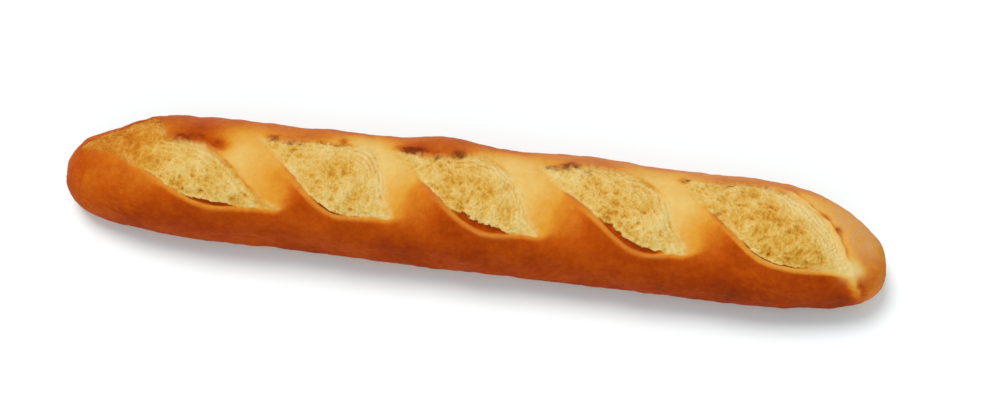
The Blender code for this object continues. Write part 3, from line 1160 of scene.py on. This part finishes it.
    def bake_bridge(self) -> None:
        """Leaves the stretched skin beside the tail pale, and golden further off."""
        skin = self.skin
        beyond = np.maximum(-self.back, 0.0)
        near = self.front_side * smooth(*self.bridge_starts, self.share)
        near = near * (1 - smooth(*self.bridge_ends, self.share))
        near = near * smooth(-0.033, -0.013, skin.girth)
        down = self.opening.fading * smooth(-0.004, 0.034, skin.girth)
        pale = self.opening.pale * (1 + 0.9 * (1 - smooth(-0.004, 0.014, skin.girth)))
        golden = ridge(beyond, 0.0, 1.8 * pale)
        skin.colour_towards(blend(*self.golden_tones, down), 0.90 * near * golden)
        skin.colour_towards(blend(*self.pale_tones, down), 0.97 * near * ridge(beyond, 0.0, pale))


@dataclass
class LoafSkin:
    """The loaf's skin: its points, what is stored on them, and its finished mesh.

    A bulge is its place along the loaf and round it, its spread along the loaf and its height.
    `bake_round` is how dark the crust is at lengths round the loaf from the top ridge, and
    `bake_behind` how much darker it is behind the ridge, at lengths along the loaf. `nose_tones`
    are of the left nose and the right one, and the openings lie within `torn_side`.
    """

    form: Form
    openings: tuple[Opening, ...]
    scorches: tuple[Patch, ...]
    fold: Fold = Fold()
    crust_lumps: float = 0.0007
    mark_depth: float = 0.00022
    flattened: float = 0.0005
    bulge_round: float = 0.020
    bulge_places: tuple[tuple[float, float, float, float], ...] = (
        (-0.165, -0.036, 0.035, 0.0020),
        (-0.020, -0.036, 0.020, 0.0048),
        (0.062, -0.036, 0.020, 0.0018),
        (0.175, -0.036, 0.028, 0.0016),
        (0.208, -0.030, 0.016, 0.0026),
        (-0.222, -0.028, 0.014, -0.0030),
        (-0.105, 0.058, 0.045, -0.0032),
        (-0.020, 0.058, 0.034, -0.0018),
        (0.028, 0.058, 0.022, -0.0014),
        (0.075, 0.058, 0.040, -0.0012),
        (0.180, 0.058, 0.030, 0.0022),
    )
    bake_round: tuple[Row, Row] = (
        (-0.111, -0.062, -0.040, -0.022, 0.004, 0.020, 0.034, 0.048, 0.066, 0.111),
        (0.66, 0.64, 0.58, 0.54, 0.50, 0.60, 0.73, 0.83, 0.83, 0.72),
    )
    bake_behind: tuple[Row, Row] = (
        (-0.220, -0.150, -0.130, -0.060, -0.040, 0.005, 0.040, 0.110, 0.220),
        (0.05, 0.09, 0.03, 0.04, 0.11, 0.10, 0.02, 0.00, -0.03),
    )
    nose_tones: Pair = (0.72, 0.52)
    torn_side: Pair = (-0.046, 0.066)

    def within(self, x: Array, girth: Array) -> Array:
        """How far inside the nearest opening each place is, below 0 outside them all."""
        return np.max([np.minimum(*o.place(x, girth)[1:]) for o in self.openings], axis=0)

    def lattice(self, step: float) -> tuple[Array, Array]:
        """Lays out staggered rows over the whole layout, clear of its borders.

        Args:
            step: Distance between points.

        Returns:
            Their lengths along the skin and round it.
        """
        run0, run1 = self.form.run[0] + step / 2, self.form.run[-1] - step / 2
        half = self.form.girth / 2 - step / 2
        runs = np.arange(run0, run1, step * math.sqrt(3) / 2)
        girths = np.arange(-half, half, step)
        run, girth = np.meshgrid(runs, girths, indexing="ij")
        girth = girth + np.where(np.arange(len(runs)) % 2, step / 2, 0.0)[:, None]
        return run.ravel(), girth.ravel()

    def layout(self) -> Array:
        """Lays out all points, close together at the openings.

        Returns:
            The points as (length along the skin, girth).
        """
        border, seam_points, nose_points = 0.0004, 240, 25
        groups = []
        inner = -1.0
        for density in Density:
            run, girth = self.lattice(density.step)
            x = self.form.x_at(run)
            inside = self.within(x, girth)
            keep = (inside > -density.reach) & (inside <= -inner if inner > 0 else True)
            keep &= np.abs(girth) < self.form.girth / 2 - border
            if density is Density.PLAIN:
                keep &= self.thinned(run, girth)
            groups.append(np.stack([run[keep], girth[keep]], axis=1))
            inner = density.reach
        half = self.form.girth / 2
        rows = np.linspace(self.form.run[0], self.form.run[-1], seam_points)
        seam = [(run, g) for run in rows for g in (-half, half)]
        turns = np.linspace(-half, half, nose_points)[1:-1]
        noses = [(run, g) for run in rows[[0, -1]] for g in turns]
        return np.concatenate([*groups, seam, noses])

    def thinned(self, run: Array, girth: Array) -> Array:
        """Leaves fewer points under the loaf and where it narrows to its noses.

        Args:
            run: The points' lengths along the skin.
            girth: Their lengths round it.

        Returns:
            Which of them stay.
        """
        ring = np.interp(run, self.form.run, self.form.rings) / self.form.girth
        foot = np.interp(run, self.form.run, self.form.foot)
        draw = np.random.default_rng(5).random(len(run))
        share = np.clip(ring * 1.25, 0.12, 1.0) * np.where(np.abs(girth) > foot, 0.35, 1.0)
        return draw < share

    def triangles(self, layout: Array) -> tuple[Array, Array, Array]:
        """Joins the points and closes the skin.

        Args:
            layout: Points as (length along the skin, girth).

        Returns:
            The points, the triangles' corners on the layout, and the same corners after the
            seam's two sides and each nose's points have become one.
        """
        close = 1e-7
        points = [Vector(p) for p in layout]
        places, _, faces, _, _, _ = delaunay_2d_cdt(points, [], [], 0, close / 10, False)
        places = np.array([tuple(p) for p in places])
        half = self.form.girth / 2
        same = np.arange(len(places))
        sides = [np.flatnonzero(np.abs(places[:, 1] - edge) < close) for edge in (-half, half)]
        first, second = (side[np.argsort(places[side, 0])] for side in sides)
        same[second] = first
        for run in (self.form.run[0], self.form.run[-1]):
            nose = np.flatnonzero(np.abs(places[:, 0] - run) < close)
            same[nose] = nose[0]
        corners = np.array(faces)
        joined = same[corners]
        whole = np.all(joined != np.roll(joined, 1, axis=1), axis=1)
        return places, corners[whole], joined[whole]

    def shaped(self, places: Array) -> tuple[Array, dict[str, Array]]:
        """Raises and sinks the skin.

        Args:
            places: Points as (length along the skin, girth).

        Returns:
            The points in space, and what the finish reads from them, by name.
        """
        run, girth = places.T
        x = self.form.x_at(run)
        plain = self.form.wrap(run, girth)
        outward, around = self.form.frames(run, girth)
        skin = Surface(x, girth, plain)
        lumps = Roughness(11)
        skin.height += self.crust_lumps * lumps.layered(plain * 60.0)
        self.plain_bake(skin, lumps)
        tears = [Tear(skin, opening) for opening in self.openings]
        for tear in tears:
            tear.bake_bridge()
        for tear in tears:
            tear.tear()
            tear.edge_back()
            tear.edge_front()
        self.fold_nose(skin)
        self.scorch(skin)
        skin.height += self.bulges(x, girth) + self.stretch_marks(skin)
        skin.height *= smooth(0.0, 0.004, plain[:, 2])
        solid = plain + outward * skin.height[:, None] + around * skin.overhang[:, None]
        solid[solid[:, 2] < self.flattened, 2] = 0.0
        solid[:, 1] -= (solid[:, 1].min() + solid[:, 1].max()) / 2
        return solid, skin.stored()

    def bulges(self, x: Array, girth: Array) -> Array:
        """Broad bulges and hollows that make the loaf uneven."""
        return sum(
            height * ridge(x, at, along) * ridge(girth, round_it, self.bulge_round)
            for at, round_it, along, height in self.bulge_places
        )

    def stretch_marks(self, skin: Surface) -> Array:
        """Pales and shapes faint creases in the crust before the openings.

        Args:
            skin: The skin, which gets paler in the creases.

        Returns:
            How far each point stands up in them.
        """
        marks = Roughness(47)
        drawn_out, apart, thin = 0.020, 0.0026, 0.30
        along = (skin.x + 0.7 * skin.girth) / drawn_out
        across = (skin.girth - 0.35 * skin.x) / apart
        course = np.stack([along, across, np.full_like(skin.x, 0.5)], axis=1)
        creases = np.maximum(thin - np.abs(marks.at(course)), 0.0) / thin
        where = smooth(0.022, 0.034, skin.girth) * (1 - smooth(0.050, 0.066, skin.girth))
        some = smooth(0.0, 0.5, marks.at(skin.flat * 26.0 + 8.0))
        amount = creases * where * some * (1 - skin.crumb)
        skin.bake -= 0.07 * amount
        return self.mark_depth * amount

    def plain_bake(self, skin: Surface, lumps: Roughness) -> None:
        """Bakes the crust away from the openings, and leaves a little flour behind the ridge.

        Args:
            skin: The skin.
            lumps: The noise that its lumps follow, which its tone follows too.
        """
        x, girth = skin.x, skin.girth
        bake = np.interp(girth, *self.bake_round)
        bake += 0.05 * smooth(0.02, 0.20, x) * smooth(0.02, 0.04, girth)
        behind = (1 - smooth(-0.024, -0.004, girth)) * smooth(-0.070, -0.040, girth)
        bake += np.interp(x, *self.bake_behind) * behind
        noses = np.maximum(smooth(0.200, 0.240, -x) * 0.8, smooth(0.228, 0.244, x))
        bake = blend(bake, np.where(x < 0, *self.nose_tones), noses)
        skin.bake = bake + 0.05 * lumps.layered(skin.plain * 34.0 + 5.0)
        floured = (1 - smooth(-0.030, -0.014, girth)) * smooth(-0.060, -0.036, girth)
        floured = floured * (0.08 + 0.20 * smooth(0.0, 0.08, x)) * smooth(-0.24, -0.20, x)
        skin.dust_to(floured)

    def scorch(self, skin: Surface) -> None:
        """Darkens and burns the skin in blotches.

        Args:
            skin: The skin.
        """
        blotches = Roughness(61).layered(skin.flat / 0.0040 + 1.5)
        broken = np.clip(0.66 + 0.9 * blotches, 0.0, 1.0)
        for patch in self.scorches:
            share = patch.at(skin.x, skin.girth)
            skin.colour_towards(patch.bake, 0.92 * share)
            skin.burn_to(np.minimum(patch.burn * share * broken, 1.0))

    def fold_nose(self, skin: Surface) -> None:
        """Adds the crack and the crease round the right nose, its paler cap and the knot.

        Args:
            skin: The skin.
        """
        width = self.fold.width
        offset, share = self.fold.offset(skin.x, skin.girth)
        wander = skin.noise(53, 140.0, 6.0)
        offset = offset - 0.0004 * skin.fray - 0.0012 * wander
        crack = smooth(0.0, 0.12, share) * (1 - smooth(0.52, 0.66, share))
        crease = smooth(0.60, 0.74, share) * (1 - smooth(0.86, 1.0, share))
        folded = np.maximum(crack, crease)
        crest = ridge(offset, -1.0 * width, 1.4 * width, 0.8 * width)
        valley = ridge(offset, 0.25 * width, 0.55 * width)
        skin.height += self.fold.height * (folded * crest - (1.1 * crack + 0.4 * crease) * valley)
        mottled = Roughness(59).layered(skin.flat * 210.0 + 2.0)
        self.bake_cap(skin, offset, mottled)
        band = ridge(offset, -1.6 * width, 1.8 * width, 1.0 * width) * folded
        skin.colour_towards(0.14, 0.85 * band * (1 - smooth(0.70, 0.98, share)))
        skin.bake += 0.18 * np.maximum(0.6 * crease, crack) * valley
        self.raise_knot(skin, mottled)
        skin.burn_to(0.42 * crack * valley * smooth(-0.6, 0.4, wander))

    def bake_cap(self, skin: Surface, offset: Array, mottled: Array) -> None:
        """Leaves the right nose paler and floured beyond the fold, but not at its tip.

        Args:
            skin: The skin.
            offset: Distances beyond the fold.
            mottled: Noise that the tone and the flour follow.
        """
        x, girth = skin.x, skin.girth
        cap = smooth(-0.004, 0.009, offset) * smooth(0.184, 0.220, x)
        cap = cap * smooth(-0.052, -0.014, girth) * (1 - smooth(0.236, 0.2475, x))
        tone = blend(0.50, 0.60, smooth(0.0, 0.040, girth)) + 0.14 * mottled
        skin.colour_towards(tone, 0.85 * cap)
        floured = cap * (1 - smooth(-0.004, 0.030, girth)) * (0.7 + 0.6 * mottled)
        skin.dust_to(0.62 * np.clip(floured, 0.0, 1.0))

    def raise_knot(self, skin: Surface, mottled: Array) -> None:
        """Raises the pale, floured knot at the crease.

        Args:
            skin: The skin.
            mottled: Noise that its height and the flour follow.
        """
        knot = self.fold.knot.at(skin.x, skin.girth)
        skin.height += self.fold.knot_height * knot * (1 + 0.5 * mottled)
        skin.colour_towards(self.fold.knot.bake, knot)
        skin.dust_to(0.8 * knot * (0.8 + 0.4 * mottled))
        skin.crumb = skin.crumb * (1 - 0.8 * knot)

    def lay_uv(self, mesh: bpy.types.Mesh, places: Array, corners: Array) -> None:
        """Lays the skin out in two long strips, its torn side above the rest.

        Args:
            mesh: The skin's mesh.
            places: Points as (length along the skin, girth).
            corners: The triangles' corners among them.
        """
        low, high = self.torn_side
        spare, margin, strip = 0.0030, 0.002, 0.496
        girth = places[corners][..., 1]
        middle = girth.mean(axis=1)
        torn = (middle > low) & (middle < high)
        turned = np.where(girth < 0, girth + self.form.girth, girth)
        upper = (girth - low + spare) / (high - low + 2 * spare)
        lower = (turned - high + spare) / (self.form.girth - (high - low) + 2 * spare)
        foot = np.where(torn, 0.5 + margin, margin)
        v = np.where(torn[:, None], upper, lower) * strip + foot[:, None]
        u = (places[corners][..., 0] - self.form.run[0]) / (self.form.run[-1] - self.form.run[0])
        layer = mesh.uv_layers.new(name="OFBake")
        both = np.stack([u * (1 - 2 * margin) + margin, v], axis=-1).astype(np.float32)
        layer.data.foreach_set("uv", both.ravel())

    def build(self, name: str) -> bpy.types.Object:
        """Makes the skin's mesh, with its stored values and its layout.

        Args:
            name: The mesh's name.

        Returns:
            A piece with that mesh.
        """
        places, corners, joined = self.triangles(self.layout())
        solid, stored = self.shaped(places)
        used, index = np.unique(joined, return_inverse=True)
        faces = index.reshape(-1, 3)
        mesh = bpy.data.meshes.new(name)
        mesh.from_pydata(solid[used].tolist(), [], faces.tolist())
        mesh.polygons.foreach_set("use_smooth", np.ones(len(faces), bool))
        for key, values in stored.items():
            layer = mesh.attributes.new(key, "FLOAT", "POINT")
            layer.data.foreach_set("value", values[used].astype(np.float32))
        self.lay_uv(mesh, places, corners)
        mesh.update()
        log.info("skin: %d points, %d triangles", len(used), len(faces))
        return place_piece(name, mesh)


@dataclass
class Loaf:
    """The whole baguette."""

    skin: LoafSkin
    finish: BreadFinish
    pit_depth: float = 0.00035
    pit_size: float = 0.0012
    wrinkle_height: float = 0.00016
    wrinkle_size: float = 0.0040
    seed: float = 4.0

    def relief_tree(self, material: bpy.types.Material) -> ShapeTree:
        """Makes the tree for fine pits over the crumb and faint wrinkles over the crust.

        Args:
            material: The bread's material.

        Returns:
            The tree, whose inputs are the pits' and wrinkles' sizes and their seed.
        """
        tree = ShapeTree("fine_relief")
        pit_depth, pit_size = tree.input("Pit depth"), tree.input("Pit size")
        height, size = tree.input("Wrinkle height"), tree.input("Wrinkle size")
        seed = tree.input("Seed")
        crumb = tree.stored("crumb")
        place = tree.node("GeometryNodeInputPosition")

        def noise(scale: Sock, detail: float) -> Sock:
            """Noise round 0 over the skin."""
            values = {"Vector": place, "W": seed, "Scale": scale, "Detail": detail}
            return tree.node("ShaderNodeTexNoise", {"noise_dimensions": "4D"}, values) - 0.5

        pits = noise(pit_size.math("DIVIDE", 1.0, pit_size), 3.0) * pit_depth * crumb
        wrinkles = noise(size.math("DIVIDE", 1.0, size), 2.0) * height * (1 - crumb)
        amount = (pits + wrinkles) * 2.0
        normal = tree.node("GeometryNodeInputNormal")
        offset = tree.node(
            "ShaderNodeVectorMath", {"operation": "SCALE"}, {0: normal, "Scale": amount}
        )
        above = tree.node("ShaderNodeSeparateXYZ", {}, {0: place}, "Z")
        free = above.math("GREATER_THAN", above, self.skin.flattened)
        moved = tree.node(
            "GeometryNodeSetPosition",
            {},
            {"Geometry": tree.shape, "Selection": free, "Offset": offset},
        )
        tree.finish(moved, material)
        return tree

    def build(self) -> bpy.types.Object:
        """Builds and dresses the loaf.

        Returns:
            The finished piece.
        """
        material = self.finish.make()
        rough = self.skin.build("loaf_blank")
        inputs = {
            "Pit depth": self.pit_depth,
            "Pit size": self.pit_size,
            "Wrinkle height": self.wrinkle_height,
            "Wrinkle size": self.wrinkle_size,
            "Seed": self.seed,
        }
        loaf = self.relief_tree(material).apply(rough, inputs, "loaf")
        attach(loaf, "root")
        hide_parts("baguette")
        log.info("loaf: %d triangles", len(loaf.data.polygons))
        return loaf


# --------------------------------------------------------------------------- studio


@dataclass(frozen=True)
class Lamp:
    """A soft lamp that points at the loaf, either near it or far off."""

    name: str
    place: tuple[float, float, float]
    size: float
    power: float
    colour: tuple[float, float, float] = (1.0, 1.0, 1.0)
    far: bool = False

    def build(self) -> bpy.types.Object:
        """Hangs the lamp. A far one's size is the angle it fills, in degrees.

        Returns:
            The lamp.
        """
        data = bpy.data.lights.new(self.name, "SUN" if self.far else "AREA")
        if self.far:
            data.angle = math.radians(self.size)
        else:
            data.size = self.size
        data.energy = self.power
        data.color = self.colour
        lamp = place_piece(self.name, data)
        lamp.location = self.place
        lamp.rotation_euler = Vector(self.place).to_track_quat("Z", "Y").to_euler()
        return lamp


@dataclass
class Studio:
    """Floor, lights and camera."""

    azimuth: float = 7.6
    elevation: float = 60.0
    lens: float = 85.0
    distance: float = 1.4223
    aim: Pair = (0.0163, 0.0000)
    middle: tuple[float, float, float] = (0.0, 0.0, 0.030)
    floor_reach: float = 4.0
    sky: float = 0.60
    sky_colour: Colour = (0.785, 0.95, 1.0, 1.0)
    lamps: tuple[Lamp, ...] = (
        Lamp("key_light", (-0.62, 0.40, 2.00), 28.0, 1.66, (1.0, 0.96, 0.92), far=True),
        Lamp("fill_light", (0.1, -1.6, 1.1), 1.40, 9.0, (0.74, 0.96, 1.0)),
    )

    def build_floor(self) -> None:
        """Lays the floor."""
        mesh = bpy.data.meshes.new("floor")
        reach = self.floor_reach
        corners = [(-reach, -reach, 0), (reach, -reach, 0), (reach, reach, 0), (-reach, reach, 0)]
        mesh.from_pydata(corners, [], [(0, 1, 2, 3)])
        mesh.materials.append(FloorFinish().make())
        place_piece("floor", mesh)

    def build_camera(self) -> None:
        """Stands the camera where it sees the loaf from above its front."""
        around, up = math.radians(self.azimuth), math.radians(self.elevation)
        back = Vector(
            (math.sin(around) * math.cos(up), -math.cos(around) * math.cos(up), math.sin(up))
        )
        right = Vector((math.cos(around), math.sin(around), 0.0))
        target = Vector(self.middle) + right * self.aim[0] + back.cross(right) * self.aim[1]
        data = bpy.data.cameras.new("camera")
        data.lens = self.lens
        camera = place_piece("camera", data)
        camera.location = target + back * self.distance
        camera.rotation_euler = back.to_track_quat("Z", "Y").to_euler()
        bpy.context.scene.camera = camera

    def build(self) -> None:
        """Builds it all."""
        self.build_floor()
        self.build_camera()
        for lamp in self.lamps:
            lamp.build()
        world = bpy.data.worlds.new("soft_sky")
        world.use_nodes = True
        sky = world.node_tree.nodes["Background"].inputs
        sky["Strength"].default_value = self.sky
        sky["Color"].default_value = self.sky_colour
        scene = bpy.context.scene
        scene.world = world
        scene.view_settings.view_transform = "Standard"
        scene.view_settings.look = "None"


def main() -> None:
    """Builds the baguette and its studio."""
    logging.basicConfig(level=logging.INFO, format="%(name)s: %(message)s")
    Studio().build()
    Loaf(LoafSkin(Form(), OPENINGS, SCORCHES), BreadFinish()).build()


if __name__ == "__main__":
    main()
